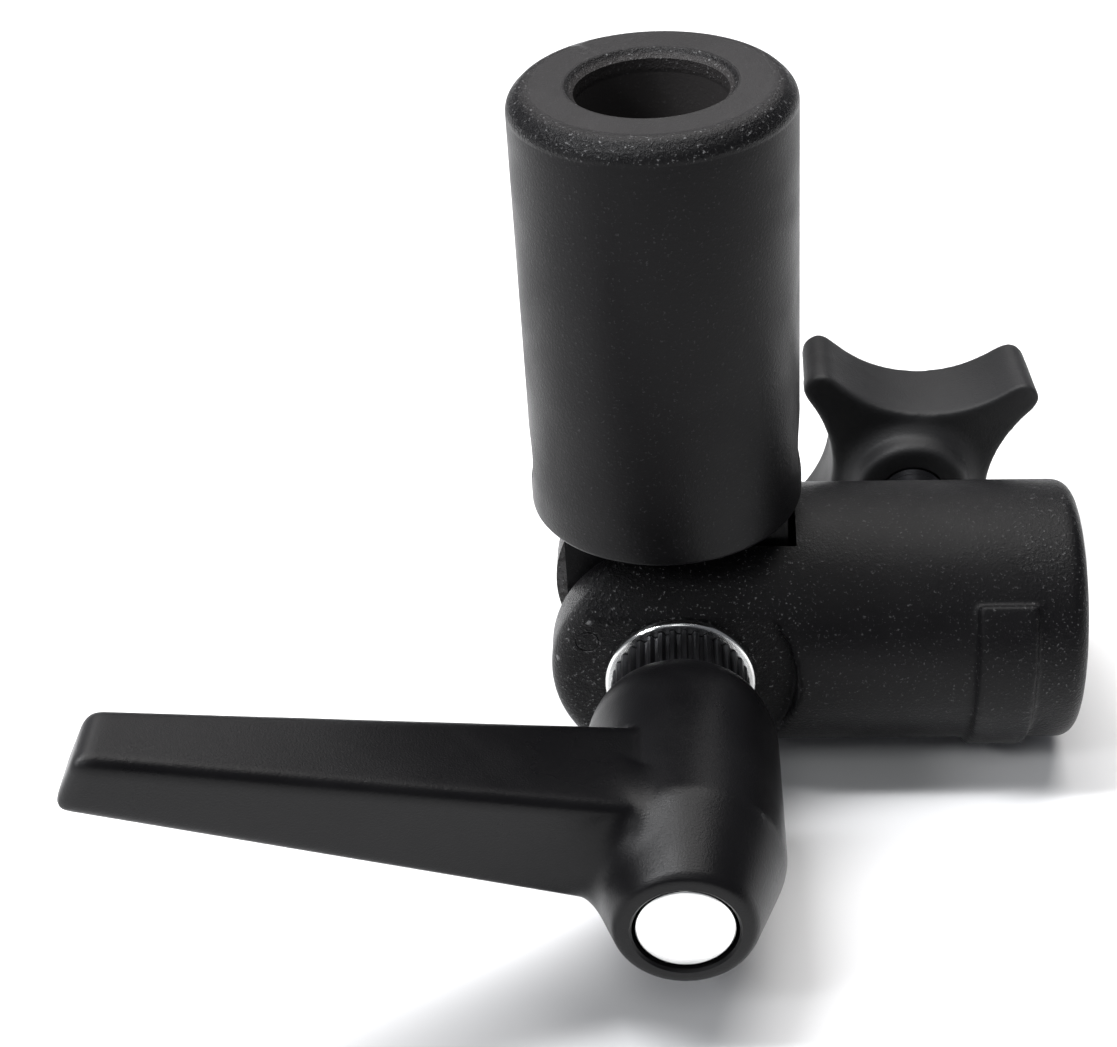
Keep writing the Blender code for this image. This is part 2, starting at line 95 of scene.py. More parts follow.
def softbox(name, place, width, length, power, tint):
    """A soft rectangular light that faces the middle of the object."""
    light = bpy.data.lights.new(name, 'AREA')
    light.shape = 'RECTANGLE'
    light.size = width
    light.size_y = length
    light.energy = power
    light.color = tint
    holder = bpy.data.objects.new(name, light)
    middle = pivot + Vector((0, 0, LIT_HEIGHT))
    towards = (middle - Vector(place)).to_track_quat('-Z', 'Y')
    holder.matrix_world = Matrix.Translation(place) @ towards.to_matrix().to_4x4()
    bpy.context.scene.collection.objects.link(holder)


def plug(tree, kind, inputs=None, **settings):
    """One shader node, its settings, and its inputs as values or as links."""
    made = tree.nodes.new(kind)
    for key, value in settings.items():
        setattr(made, key, value)
    for key, value in (inputs or {}).items():
        if isinstance(value, bpy.types.NodeSocket):
            tree.links.new(value, made.inputs[key])
        else:
            made.inputs[key].default_value = value
    return made


def table_top():
    """A wide sheet of pale card just under the object."""
    surface = bpy.data.meshes.new("table_top")
    form = bmesh.new()
    bmesh.ops.create_grid(form, x_segments=1, y_segments=1, size=TABLE_SIZE)
    bmesh.ops.translate(form, verts=form.verts, vec=(0, 0, cad_low.z - TABLE_GAP))
    form.to_mesh(surface)
    form.free()
    floor = bpy.data.objects.new("table_top", surface)
    bpy.context.scene.collection.objects.link(floor)
    finish = bpy.data.materials.new("pale_card")
    finish.use_nodes = True
    tree = finish.node_tree
    where = plug(tree, "ShaderNodeTexCoord").outputs["Object"]
    mottle = plug(tree, "ShaderNodeTexNoise", {"Vector": where, "Scale": 40.0, "Detail": 3.0})
    tone = plug(tree, "ShaderNodeMix", {"Factor": mottle.outputs["Fac"],
                                        "A": (0.86, 0.86, 0.865, 1),
                                        "B": (0.90, 0.90, 0.90, 1)}, data_type='RGBA')
    shader = tree.nodes["Principled BSDF"]
    tree.links.new(tone.outputs["Result"], shader.inputs["Base Color"])
    shader.inputs["Roughness"].default_value = 0.9
    shader.inputs["Specular IOR Level"].default_value = 0.1
    surface.materials.append(finish)


aim_camera()
softbox("overhead", (0.05, 0.20, 0.62), 0.50, 0.50, 4.0, (1.0, 0.985, 0.97))
softbox("left_strip", (-0.26, -0.02, 0.49), 0.06, 0.44, 3.5, (0.97, 0.98, 1.0))
softbox("front_left", (-0.43, -0.35, 0.44), 0.13, 0.13, 1.1, (0.97, 0.98, 1.0))
softbox("front_top", (-0.03, -0.40, 0.56), 0.22, 0.22, 0.5, (0.98, 1.0, 0.99))
softbox("behind", (0.02, 0.62, 0.42), 0.60, 0.20, 0.8, (1.0, 0.98, 0.98))
table_top()
room = bpy.data.worlds.new("room")
room.use_nodes = True
room.node_tree.nodes["Background"].inputs["Color"].default_value = (0.9, 0.92, 1.0, 1)
room.node_tree.nodes["Background"].inputs["Strength"].default_value = 0.17
bpy.context.scene.world = room
bpy.context.scene.view_settings.view_transform = 'Standard'


# ---- Lower socket ----
# One aluminium casting: a barrel for the stand's 16 mm spigot whose other end is slotted into
# the two ears of a clevis. It is cast, shot-blasted, machined where parts meet, and coated black.
MM = 0.001
MERGE = 0.002 * MM
BARREL_R = 15.2 * MM
BORE_R = 8.1 * MM
MOUTH_R = 9.0 * MM
MOUTH_CHAMFER = 0.9 * MM
LOWER_MOUTH = 46.0 * MM
LOWER_FLOOR = 18.0 * MM
LOWER_RIM_ROUND = 2.1 * MM
EAR_R = 14.8 * MM
EAR_FACE = 12.78 * MM
EAR_ROUND = 2.2 * MM
SPOT_FACE_R = 13.3 * MM
SLOT_HALF = 6.5 * MM
SLOT_FLOOR = 13.3 * MM
BOLT_POCKET_FLOOR = 9.6 * MM
BOLT_POCKET_FLATS = 13.6 * MM
THREAD_HOLE_R = 4.3 * MM
SCREW_HOLE_START = 4.0 * MM
CASTING_SKIN = 0.31 * MM

AT_PIVOT = Matrix.Translation(pivot)
TO_FRONT = AT_PIVOT @ Matrix.Rotation(math.radians(90), 4, 'X')
TO_BACK = AT_PIVOT @ Matrix.Rotation(math.radians(-90), 4, 'X')
TO_RIGHT = AT_PIVOT @ Matrix.Rotation(math.radians(90), 4, 'Y')


def knob_axis(side):
    """The place of a socket's clamping screw, its own Z pointing out to the knob."""
    at = Matrix.Translation(Vector(joint_at[side + "_knob_turn"]["pos_m"]))
    return at @ Matrix.Rotation(math.radians(-90), 4, 'X')


def piece_from(name, form, place):
    """A bmesh as an object at the origin, its place in its mesh."""
    bmesh.ops.remove_doubles(form, verts=form.verts, dist=MERGE)
    bmesh.ops.recalc_face_normals(form, faces=form.faces)
    form.transform(place)
    mesh = bpy.data.meshes.new(name)
    form.to_mesh(mesh)
    form.free()
    made = bpy.data.objects.new(name, mesh)
    bpy.context.scene.collection.objects.link(made)
    return made


def sweep(centre, radius, first, last, count=6):
    """Points (out, along) on an arc, its angles in degrees."""
    turns = [math.radians(first + (last - first) * i / count) for i in range(count + 1)]
    return [(centre[0] + radius * math.cos(t), centre[1] + radius * math.sin(t)) for t in turns]


def turned(name, profile, place, steps=96, closed=False):
    """A lathe-turned solid: a half section of (out, along) points spun about its axis."""
    form = bmesh.new()
    points = [form.verts.new((out, 0.0, along)) for out, along in profile]
    edges = [form.edges.new(pair) for pair in zip(points, points[1:])]
    if closed:
        edges.append(form.edges.new((points[-1], points[0])))
    bmesh.ops.spin(form, geom=points + edges, cent=(0, 0, 0), axis=(0, 0, 1),
                   angle=math.tau, steps=steps, use_merge=True)
    return piece_from(name, form, place)


def plate(name, outline, low, high, place):
    """A flat outline in its own XY plane, drawn up from low to high."""
    form = bmesh.new()
    base = form.faces.new([form.verts.new((across, along, low)) for across, along in outline])
    drawn = bmesh.ops.extrude_face_region(form, geom=[base])
    risen = [item for item in drawn["geom"] if isinstance(item, bmesh.types.BMVert)]
    bmesh.ops.translate(form, verts=risen, vec=(0, 0, high - low))
    return piece_from(name, form, place)


def slab(name, low, high, place):
    """A rectangular block between two corners."""
    outline = [(low[0], low[1]), (high[0], low[1]), (high[0], high[1]), (low[0], high[1])]
    return plate(name, outline, low[2], high[2], place)


def hexagon(flats):
    """The corners of a hexagon, flats measured across."""
    return sweep((0, 0), flats / math.sqrt(3), 0, 300, 5)


def settle(piece):
    """Makes the modifiers part of the mesh."""
    bpy.context.view_layer.update()
    seen = piece.evaluated_get(bpy.context.evaluated_depsgraph_get())
    mesh = bpy.data.meshes.new_from_object(seen)
    old = piece.data
    piece.modifiers.clear()
    piece.data = mesh
    bpy.data.meshes.remove(old)
    mesh.name = piece.name


def work(piece, tool, how='DIFFERENCE', solver='EXACT'):
    """Cuts the piece with the tool, or joins the tool to it, and puts the tool away."""
    step = piece.modifiers.new("work", 'BOOLEAN')
    step.operation = how
    step.solver = solver
    step.object = tool
    settle(piece)
    bpy.data.objects.remove(tool, do_unlink=True)


def cast_skin(piece, pitch, rounds):
    """The form as the mould leaves it: an even skin with every edge a little soft."""
    skin = piece.modifiers.new("skin", 'REMESH')
    skin.mode = 'VOXEL'
    skin.voxel_size = pitch
    skin.adaptivity = 0.0
    settle(piece)
    form = bmesh.new()
    form.from_mesh(piece.data)
    for _ in range(rounds):
        bmesh.ops.smooth_vert(form, verts=form.verts, factor=0.5,
                              use_axis_x=True, use_axis_y=True, use_axis_z=True)
    form.to_mesh(piece.data)
    form.free()


PAD_CENTRE = 36.7 * MM


def pad_step(name, width, proud, low, high):
    """A raised strip that follows the barrel's front from one angle to the other."""
    outer = sweep((0, 0), BARREL_R + proud, low, high, 20)
    inner = sweep((0, 0), BARREL_R - 2 * MM, high, low, 20)
    # The outline's own X points to the front and its Y up; the strip's width lies along X.
    stand = Matrix(((0, 0, 1, PAD_CENTRE), (-1, 0, 0, 0), (0, 1, 0, 0), (0, 0, 0, 1)))
    return plate(name, outer + inner, -width / 2, width / 2, AT_PIVOT @ stand)


def lower_casting():
    """The barrel cut down to two rounded ears at one end, with the stepped pad on its front."""
    blank = [(0, -EAR_R - MM), (BARREL_R, -EAR_R - MM), (BARREL_R, 0)]
    rim = sweep((BARREL_R - LOWER_RIM_ROUND, LOWER_MOUTH - LOWER_RIM_ROUND), LOWER_RIM_ROUND, 0, 90, 8)
    body = turned("lower_socket_casting", blank + rim + [(0, LOWER_MOUTH)], TO_RIGHT)
    round_at = EAR_R - EAR_ROUND
    wheel = ([(0, -EAR_FACE)] + sweep((round_at, -EAR_FACE + EAR_ROUND), EAR_ROUND, -90, 0)
             + sweep((round_at, EAR_FACE - EAR_ROUND), EAR_ROUND, 0, 90) + [(0, EAR_FACE)])
    ears = turned("ears", wheel, TO_BACK)
    reach = 20 * MM
    flats_end = 2 * MM
    barrel_side = slab("barrel_side", (flats_end, -reach, -reach), (50 * MM, reach, reach), AT_PIVOT)
    work(ears, barrel_side, 'UNION')
    work(body, ears, 'INTERSECT')
    for side in (-1, 1):
        low, high = sorted((side * EAR_FACE, side * reach))
        work(body, slab("ear_flat", (-reach, low, -reach), (flats_end, high, reach), AT_PIVOT))
        spot = [(0, low), (SPOT_FACE_R, low), (SPOT_FACE_R, high), (0, high)]
        work(body, turned("spot_face", spot, TO_BACK))
    work(body, pad_step("pad_base", 6.5 * MM, 0.85 * MM, -67, 37), 'UNION')
    work(body, pad_step("pad_face", 5.1 * MM, 1.95 * MM, -65, 25), 'UNION')
    cast_skin(body, CASTING_SKIN, 4)
    return body


def machine_lower(body):
    """The bore, slot, pivot hole, bolt pocket and screw hole, cut after casting."""
    far = 25 * MM
    bore = [(0, LOWER_FLOOR), (BORE_R, LOWER_FLOOR), (BORE_R, LOWER_MOUTH - MOUTH_CHAMFER),
            (MOUTH_R, LOWER_MOUTH), (MOUTH_R + MM, LOWER_MOUTH + MM), (0, LOWER_MOUTH + MM)]
    work(body, turned("bore_tool", bore, TO_RIGHT, 128), solver='MANIFOLD')
    slot = slab("slot_tool", (-far, -SLOT_HALF, -far), (SLOT_FLOOR, SLOT_HALF, far), AT_PIVOT)
    work(body, slot, solver='MANIFOLD')
    drill = [(0, -far), (THREAD_HOLE_R, -far), (THREAD_HOLE_R, far), (0, far)]
    work(body, turned("pivot_drill", drill, TO_BACK, 64), solver='MANIFOLD')
    pocket = plate("bolt_pocket", hexagon(BOLT_POCKET_FLATS), BOLT_POCKET_FLOOR, far, TO_BACK)
    work(body, pocket, solver='MANIFOLD')
    drill = [(0, SCREW_HOLE_START), (THREAD_HOLE_R, SCREW_HOLE_START), (THREAD_HOLE_R, far), (0, far)]
    work(body, turned("screw_drill", drill, knob_axis("lower"), 64), solver='MANIFOLD')


def mould_mark(body, radius, place):
    """The faint ring that a mould's ejector pin leaves."""
    ring = sweep((radius, 0), 0.11 * MM, 0, 330, 11)
    work(body, turned("pin_mark", ring, place, 48, closed=True), solver='MANIFOLD')


def fraction(tree, value, low, high, start=0.0, end=1.0):
    """A value's smooth rise from start at low to end at high."""
    made = plug(tree, "ShaderNodeMapRange",
                {"Value": value, "From Min": low, "From Max": high, "To Min": start, "To Max": end},
                interpolation_type='SMOOTHSTEP')
    return made.outputs["Result"]


def maths(tree, how, first, second):
    """One sum of two values or links."""
    made = plug(tree, "ShaderNodeMath", {0: first, 1: second}, operation=how)
    return made.outputs[0]


def blend_colours(tree, share, first, second):
    """The first colour where share is 0 and the second where it is 1."""
    made = plug(tree, "ShaderNodeMix", {"Factor": share}, data_type='RGBA')
    for key, value in (("A", first), ("B", second)):
        if isinstance(value, bpy.types.NodeSocket):
            tree.links.new(value, made.inputs[key])
        else:
            made.inputs[key].default_value = (*value, 1)
    return made.outputs["Result"]


def new_group(name, wanted, given):
    """An empty shader group with number inputs (and one Vector) and named outputs."""
    group = bpy.data.node_groups.new(name, 'ShaderNodeTree')
    group.interface.new_socket("Vector", in_out='INPUT', socket_type='NodeSocketVector')
    for word in wanted:
        group.interface.new_socket(word, in_out='INPUT', socket_type='NodeSocketFloat')
    for word in given:
        group.interface.new_socket(word, in_out='OUTPUT', socket_type='NodeSocketFloat')
    return group, group.nodes.new("NodeGroupInput").outputs, group.nodes.new("NodeGroupOutput")


def grain_group():
    """Shot-blasted grain under a coat: its height, and the crests, which cast_black paints pale as a painted
    glint.
    """
    group, given, out = new_group("blasted_grain", ("Size", "Fine"), ("Height", "Crests"))
    scale = maths(group, 'DIVIDE', 1.0, given["Size"])
    coarse = plug(group, "ShaderNodeTexNoise", {"Vector": given["Vector"], "Scale": scale,
                                                "Detail": 3.0, "Roughness": 0.6})
    fine_scale = maths(group, 'DIVIDE', 1.0, given["Fine"])
    fine = plug(group, "ShaderNodeTexNoise", {"Vector": given["Vector"], "Scale": fine_scale,
                                              "Detail": 2.0, "Roughness": 0.5})
    fine_part = maths(group, 'MULTIPLY', fine.outputs["Fac"], 0.35)
    both = maths(group, 'ADD', coarse.outputs["Fac"], fine_part)
    group.links.new(both, out.inputs["Height"])
    group.links.new(fraction(group, coarse.outputs["Fac"], 0.60, 0.74), out.inputs["Crests"])
    return group


def wear_group():
    """Coat rubbed thin where an edge stands out, broken up by patches."""
    group, given, out = new_group("rubbed_edge", ("Onset", "Patch"), ("Mask",))
    shape = group.nodes.new("ShaderNodeNewGeometry").outputs["Pointiness"]
    patch_scale = maths(group, 'DIVIDE', 1.0, given["Patch"])
    patches = plug(group, "ShaderNodeTexNoise", {"Vector": given["Vector"], "Scale": patch_scale,
                                                 "Detail": 4.0, "Roughness": 0.65})
    full = maths(group, 'ADD', given["Onset"], 0.05)
    edge = plug(group, "ShaderNodeMapRange",
                {"Value": shape, "From Min": given["Onset"], "From Max": full})
    broken = fraction(group, patches.outputs["Fac"], 0.42, 0.62)
    group.links.new(maths(group, 'MULTIPLY', edge.outputs["Result"], broken), out.inputs["Mask"])
    return group


def handling_group():
    """Slow changes of sheen from handling, some millimetres across, and a few pale specks."""
    group, given, out = new_group("handling", ("Spread",), ("Sheen", "Specks"))
    scale = maths(group, 'DIVIDE', 1.0, given["Spread"])
    cloud = plug(group, "ShaderNodeTexNoise", {"Vector": given["Vector"], "Scale": scale,
                                               "Detail": 4.0, "Roughness": 0.55, "Distortion": 0.4})
    specks = plug(group, "ShaderNodeTexVoronoi", {"Vector": given["Vector"], "Scale": 260.0})
    tint = plug(group, "ShaderNodeSeparateColor", {"Color": specks.outputs["Color"]})
    near = fraction(group, specks.outputs["Distance"], 0.050, 0.025)
    few = fraction(group, tint.outputs["Red"], 0.975, 0.985)
    group.links.new(cloud.outputs["Fac"], out.inputs["Sheen"])
    group.links.new(maths(group, 'MULTIPLY', near, few), out.inputs["Specks"])
    return group


GRAIN = grain_group()
WEAR = wear_group()
HANDLING = handling_group()


def use_group(tree, group, vector, **values):
    """A shared effect placed in a material with its own values."""
    made = plug(tree, "ShaderNodeGroup", node_tree=group)
    tree.links.new(vector, made.inputs["Vector"])
    for key, value in values.items():
        made.inputs[key].default_value = value
    return made.outputs


def blank_material(name, roughness, metallic, specular):
    """A material with its plain shader values set, and coordinates to draw on."""
    made = bpy.data.materials.new(name)
    made.use_nodes = True
    tree = made.node_tree
    shader = tree.nodes["Principled BSDF"]
    shader.inputs["Roughness"].default_value = roughness
    shader.inputs["Metallic"].default_value = metallic
    shader.inputs["Specular IOR Level"].default_value = specular
    where = plug(tree, "ShaderNodeTexCoord").outputs["Object"]
    return made, tree, shader, where


def raise_surface(tree, shader, height, depth):
    """Lets a height, as deep as depth, catch the light."""
    bump = plug(tree, "ShaderNodeBump", {"Height": height, "Distance": depth, "Strength": 1.0})
    tree.links.new(bump.outputs["Normal"], shader.inputs["Normal"])


def measured_from(tree, where, place):
    """The pattern's coordinates, measured from a piece's own place and along its axes."""
    made = plug(tree, "ShaderNodeMapping", {"Vector": where, "Location": place.to_translation(),
                                            "Rotation": place.to_euler()}, vector_type='TEXTURE')
    return made.outputs[0]


def distance_out(tree, local, kept):
    """How far a point is from an axis; kept is 0 along that axis and 1 along the others."""
    flat = plug(tree, "ShaderNodeVectorMath", {0: local, 1: kept}, operation='MULTIPLY').outputs[0]
    return plug(tree, "ShaderNodeVectorMath", {0: flat}, operation='LENGTH').outputs["Value"]


COAT = (0.0030, 0.0029, 0.0034)
COAT_THIN = (0.0085, 0.0082, 0.0088)
# A lighter grey painted into the bores and onto the upper mouth's face: painted light and a painted reflection.
COAT_PAINTED_LIGHT = (0.030, 0.028, 0.028)
# Pale bare metal: real wear on edges and nicks, and also the painted glint on the castings' grain crests.
BARE_CASTING_AND_GLINT = (0.34, 0.34, 0.345)


def cast_black(name, place, shares):
    """Satin black coat over blasted casting, glints painted on its grain crests; shares() gives where it is coarse
    and where light is painted in.
    """
    made, tree, shader, where = blank_material(name, 0.42, 0.0, 0.13)
    local = measured_from(tree, where, place)
    grain = use_group(tree, GRAIN, where, Size=0.34 * MM, Fine=0.12 * MM)
    wear = use_group(tree, WEAR, where, Onset=0.545, Patch=0.9 * MM)
    handling = use_group(tree, HANDLING, where, Spread=9 * MM)
    coarse, painted_light_share = shares(tree, local)
    colour = blend_colours(tree, maths(tree, 'MULTIPLY', handling["Sheen"], 0.5), COAT, COAT_THIN)
    # Painted light: the bore and the upper mouth's face are lightened, as light falling into the bore and
    # reflected off the face.
    colour = blend_colours(tree, painted_light_share, colour, COAT_PAINTED_LIGHT)
    glint_crests = maths(tree, 'MULTIPLY', grain["Crests"], coarse)
    # Painted glint: grain crests on the coarse areas are painted half way to pale metal, as the light's sparkle on
    # blasted grain.
    colour = blend_colours(tree, maths(tree, 'MULTIPLY', glint_crests, 0.5), colour, BARE_CASTING_AND_GLINT)
    worn = maths(tree, 'MULTIPLY', maths(tree, 'MULTIPLY', wear["Mask"], 0.40), coarse)
    colour = blend_colours(tree, worn, colour, BARE_CASTING_AND_GLINT)
    tree.links.new(colour, shader.inputs["Base Color"])
    sheen = fraction(tree, handling["Sheen"], 0.3, 0.7, 0.34, 0.46)
    glint = maths(tree, 'MULTIPLY', maths(tree, 'ADD', coarse, glint_crests), 0.09)
    tree.links.new(maths(tree, 'SUBTRACT', sheen, glint), shader.inputs["Roughness"])
    tree.links.new(maths(tree, 'MULTIPLY', worn, 0.8), shader.inputs["Metallic"])
    depth = maths(tree, 'ADD', maths(tree, 'MULTIPLY', coarse, 0.85), 0.15)
    raise_surface(tree, shader, maths(tree, 'MULTIPLY', grain["Height"], depth), 0.16 * MM)
    return made


def lower_grain(tree, local):
    """Coarse round the clevis, finer along the barrel, coarse again at the mouth; painted light in the bore."""
    axes = plug(tree, "ShaderNodeSeparateXYZ", {"Vector": local}).outputs
    clevis = fraction(tree, axes["X"], 24 * MM, 4 * MM)
    mouth = maths(tree, 'MULTIPLY', fraction(tree, axes["X"], 33 * MM, 42 * MM), 0.6)
    painted_light_share = fraction(tree, distance_out(tree, local, (0, 1, 1)), 8.6 * MM, 8.3 * MM)
    return maths(tree, 'MAXIMUM', maths(tree, 'MAXIMUM', clevis, mouth), 0.30), painted_light_share


def dress(piece, body, node, material, angle=32):
    """Gives the piece its finish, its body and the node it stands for."""
    piece.data.shade_smooth()
    piece.data.set_sharp_from_angle(angle=math.radians(angle))
    piece.data.materials.clear()
    piece.data.materials.append(material)
    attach(piece, body)
    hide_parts(node)


lower = lower_casting()
machine_lower(lower)
EJECTOR_PIN = TO_FRONT @ Matrix.Translation((-10.5 * MM, 5.2 * MM, EAR_FACE))
mould_mark(lower, 1.3 * MM, EJECTOR_PIN)
dress(lower, "base", "lower_socket", cast_black("cast_black", AT_PIVOT, lower_grain))


# ---- Upper socket ----
# The tilting half, cast in the same aluminium: an upright barrel with a tongue below that sits
# between the ears. Its mouth is faced on a lathe and a hole is drilled across for an umbrella shaft.
mount_at = {mount["name"]: mount for mount in frame["record"]["mounts"]}
lean_axis = mount_at["upper_socket_mouth"]["axis"]
TILT = AT_PIVOT @ Matrix.Rotation(math.atan2(lean_axis[0], lean_axis[2]), 4, 'Y')
UPPER = TILT @ Matrix.Translation((-0.9 * MM, 0, 0))
UPPER_MOUTH = 67.6 * MM
UPPER_FLOOR = 30.0 * MM
UPPER_BASE = 17.3 * MM
FOOT_R = 15.4 * MM
FOOT_TOP = 23.2 * MM
FOOT_FADE = 29.0 * MM
TONGUE_R = 12.7 * MM
TONGUE_HALF = 5.4 * MM
UMBRELLA_R = 3.75 * MM
UMBRELLA_HEIGHT = 24.3 * MM
SLEEVE_HOLE_R = 5.7 * MM


def mouth_rim(mouth):
    """A machined mouth from the bore outwards: chamfer, flat face, and a bevel with soft edges."""
    soft = 1.9 * MM
    bevel = 2.3 * MM
    return ([(BORE_R, mouth - MOUTH_CHAMFER), (MOUTH_R, mouth)]
            + sweep((BARREL_R - bevel, mouth - soft), soft, 90, 45, 6)
            + sweep((BARREL_R - soft, mouth - bevel), soft, 45, 0, 6))


def rows(radius, start, end, count):
    """Even rings down a straight wall, so that later cuts disturb little of it."""
    return [(radius, start + (end - start) * i / count) for i in range(1, count)]


def upper_barrel():
    """The bored barrel with its slightly wider foot, joined to the tongue."""
    rim = mouth_rim(UPPER_MOUTH)
    edge = 0.6 * MM
    lap = UPPER_BASE + 3 * MM
    profile = [(0, UPPER_FLOOR), (BORE_R, UPPER_FLOOR)]
    profile += rows(BORE_R, UPPER_FLOOR, rim[0][1], 12) + rim
    profile += rows(BARREL_R, rim[-1][1], FOOT_FADE, 16) + [(BARREL_R, FOOT_FADE)]
    profile += [(FOOT_R, FOOT_TOP)] + rows(FOOT_R, FOOT_TOP, UPPER_BASE + edge, 4)
    profile += sweep((FOOT_R - edge, UPPER_BASE + edge), edge, 0, -90, 4) + [(0, UPPER_BASE)]
    body = turned("upper_socket_casting", profile, UPPER, 128)
    outline = sweep((0, 0), TONGUE_R, 180, 360, 48)
    outline += [(TONGUE_R, lap), (-TONGUE_R, lap)]
    upright = TILT @ Matrix.Rotation(math.radians(90), 4, 'X')
    work(body, plate("tongue", outline, -TONGUE_HALF, TONGUE_HALF, upright), 'UNION')
    return body


def machine_upper(body):
    """The umbrella hole with a countersink at each end, the sleeve's hole and the screw hole."""
    far = 19 * MM
    flare = 14.6 * MM
    wide = UMBRELLA_R + far - flare
    hole = [(0, -far), (wide, -far), (UMBRELLA_R, -flare), (UMBRELLA_R, flare), (wide, far), (0, far)]
    hole_centre = UPPER @ Matrix.Translation((0, 0, UMBRELLA_HEIGHT))
    across = hole_centre @ Matrix.Rotation(math.radians(90), 4, 'Y')
    work(body, turned("umbrella_drill", hole, across, 64))
    drill = [(0, -far), (SLEEVE_HOLE_R, -far), (SLEEVE_HOLE_R, far), (0, far)]
    sideways = TILT @ Matrix.Rotation(math.radians(-90), 4, 'X')
    work(body, turned("sleeve_drill", drill, sideways, 64))
    drill = [(0, SCREW_HOLE_START), (THREAD_HOLE_R, SCREW_HOLE_START), (THREAD_HOLE_R, far), (0, far)]
    work(body, turned("screw_drill", drill, knob_axis("upper"), 64))


def upper_grain(tree, local):
    """Coarse, with painted glints, only on the mouth's bevel and chamfer; painted light in the bore and a painted
    reflection on the face.
    """
    axes = plug(tree, "ShaderNodeSeparateXYZ", {"Vector": local}).outputs
    radius = distance_out(tree, local, (1, 1, 0))
    high = fraction(tree, axes["Z"], UPPER_MOUTH - 2.6 * MM, UPPER_MOUTH - 1.9 * MM)
    bevel = maths(tree, 'MULTIPLY', high, fraction(tree, radius, 12.4 * MM, 13.2 * MM))
    chamfer = maths(tree, 'MULTIPLY', high, fraction(tree, radius, 9.3 * MM, 8.9 * MM))
    # The faced mouth gets a share of painted reflection; the bore gets painted light.
    face = maths(tree, 'MULTIPLY', fraction(tree, axes["Z"], UPPER_MOUTH - 0.5 * MM, UPPER_MOUTH), 0.30)
    painted_light_share = maths(tree, 'MAXIMUM', fraction(tree, radius, 8.8 * MM, 8.4 * MM), face)
    return maths(tree, 'MAXIMUM', maths(tree, 'MAXIMUM', bevel, chamfer), 0.12), painted_light_share


upper = upper_barrel()
machine_upper(upper)
upper_black = cast_black("cast_black_upper", UPPER, upper_grain)
dress(upper, "head", "upper_socket", upper_black)


# ---- Ratchet lever ----
# A die-cast hub with a conical nose and a tapering arm in one piece, smooth satin black. The arm
# rises away from the sockets to clear them, and runs into the nose with a wide fillet.
LEVER_SKIN = 0.32 * MM
HUB_R = 10.65 * MM
HUB_BACK = 21.3 * MM
HUB_BACK_R = 9.4 * MM
HUB_SHOULDER = 26.5 * MM
NOSE_START = 45.0 * MM
NOSE_END = 53.8 * MM
NOSE_R = 7.4 * MM
NOSE_BORE_R = 5.45 * MM
HUB_BORE_R = 8.2 * MM
WEB = (36.0 * MM, 39.0 * MM)
WEB_HOLE_R = 3.1 * MM
ARM_LENGTH = 63.0 * MM
ARM_FRONT = 44.5 * MM
ARM_RISE = math.tan(math.radians(15.5))
ARM_ROOT = (14.7 * MM, 15.0 * MM)
ARM_TIP = (7.0 * MM, 8.2 * MM)
ARM = TO_FRONT @ Matrix.Rotation(math.radians(180 - 24.8), 4, 'Z')


def lever_arm():
    """A tapering bar: X along it, Y across it and Z out along the pivot."""
    form = bmesh.new()
    bmesh.ops.create_cube(form, size=1.0)
    for vertex in form.verts:
        share = vertex.co.x + 0.5
        across, deep = [root + (tip - root) * share for root, tip in zip(ARM_ROOT, ARM_TIP)]
        front = ARM_FRONT + ARM_LENGTH * share * ARM_RISE
        depth = deep if vertex.co.z < 0 else 0.0
        vertex.co = (ARM_LENGTH * share, across * vertex.co.y, front - depth)
    bmesh.ops.bevel(form, geom=form.edges, offset=1.25 * MM, offset_type='OFFSET', segments=3,
                    profile=0.5, affect='EDGES', material=-1)
    return piece_from("lever_arm", form, ARM)


def fill_hollow(piece, rounds, inside):
    """Builds up the inward corners where inside() is true, and leaves outward edges alone."""
    mesh = piece.data
    count = len(mesh.vertices)
    spots = numpy.empty(count * 3)
    mesh.vertices.foreach_get("co", spots)
    spots = spots.reshape(count, 3)
    outward = numpy.empty(count * 3)
    mesh.vertex_normals.foreach_get("vector", outward)
    outward = outward.reshape(count, 3)
    pairs = numpy.empty(len(mesh.edges) * 2, dtype=int)
    mesh.edges.foreach_get("vertices", pairs)
    pairs = pairs.reshape(-1, 2)
    picked = numpy.array([inside(vertex.co) for vertex in mesh.vertices])
    pairs = pairs[picked[pairs].any(axis=1)]
    degree = numpy.maximum(numpy.bincount(pairs.ravel(), minlength=count), 1)[:, None]
    for _ in range(rounds):
        total = numpy.zeros_like(spots)
        numpy.add.at(total, pairs[:, 0], spots[pairs[:, 1]])
        numpy.add.at(total, pairs[:, 1], spots[pairs[:, 0]])
        step = total / degree - spots
        rise = (step * outward).sum(axis=1)
        moved = picked & (rise > 0)
        spots[moved] += 0.5 * step[moved]
    mesh.vertices.foreach_set("co", spots.ravel())
    mesh.update()


def lever_casting():
    """Hub, cone and arm under one skin, with metal built up where the arm meets the cone."""
    flare_r = 11.4 * MM
    flare = sweep((HUB_R - flare_r, HUB_SHOULDER), flare_r, 0, -27, 5)
    edge = 0.5 * MM
    profile = [(0, NOSE_END), (NOSE_R - edge, NOSE_END), (NOSE_R, NOSE_END - edge),
               (HUB_R - 0.25 * MM, NOSE_START), (HUB_R, NOSE_START - MM)] + flare
    profile += [(HUB_BACK_R, HUB_BACK), (0, HUB_BACK)]
    body = turned("lever_casting", profile, TO_FRONT)
    work(body, lever_arm(), 'UNION')
    cast_skin(body, LEVER_SKIN, 5)
    root = ARM @ Vector((11.8 * MM, 0, ARM_FRONT + 2.6 * MM))
    across = (ARM.to_3x3() @ Vector((0, 1, 0))).normalized()

    def near_crotch(point):
        away = point - root
        return (away - away.dot(across) * across).length < 8.5 * MM

    fill_hollow(body, 520, near_crotch)
    return body


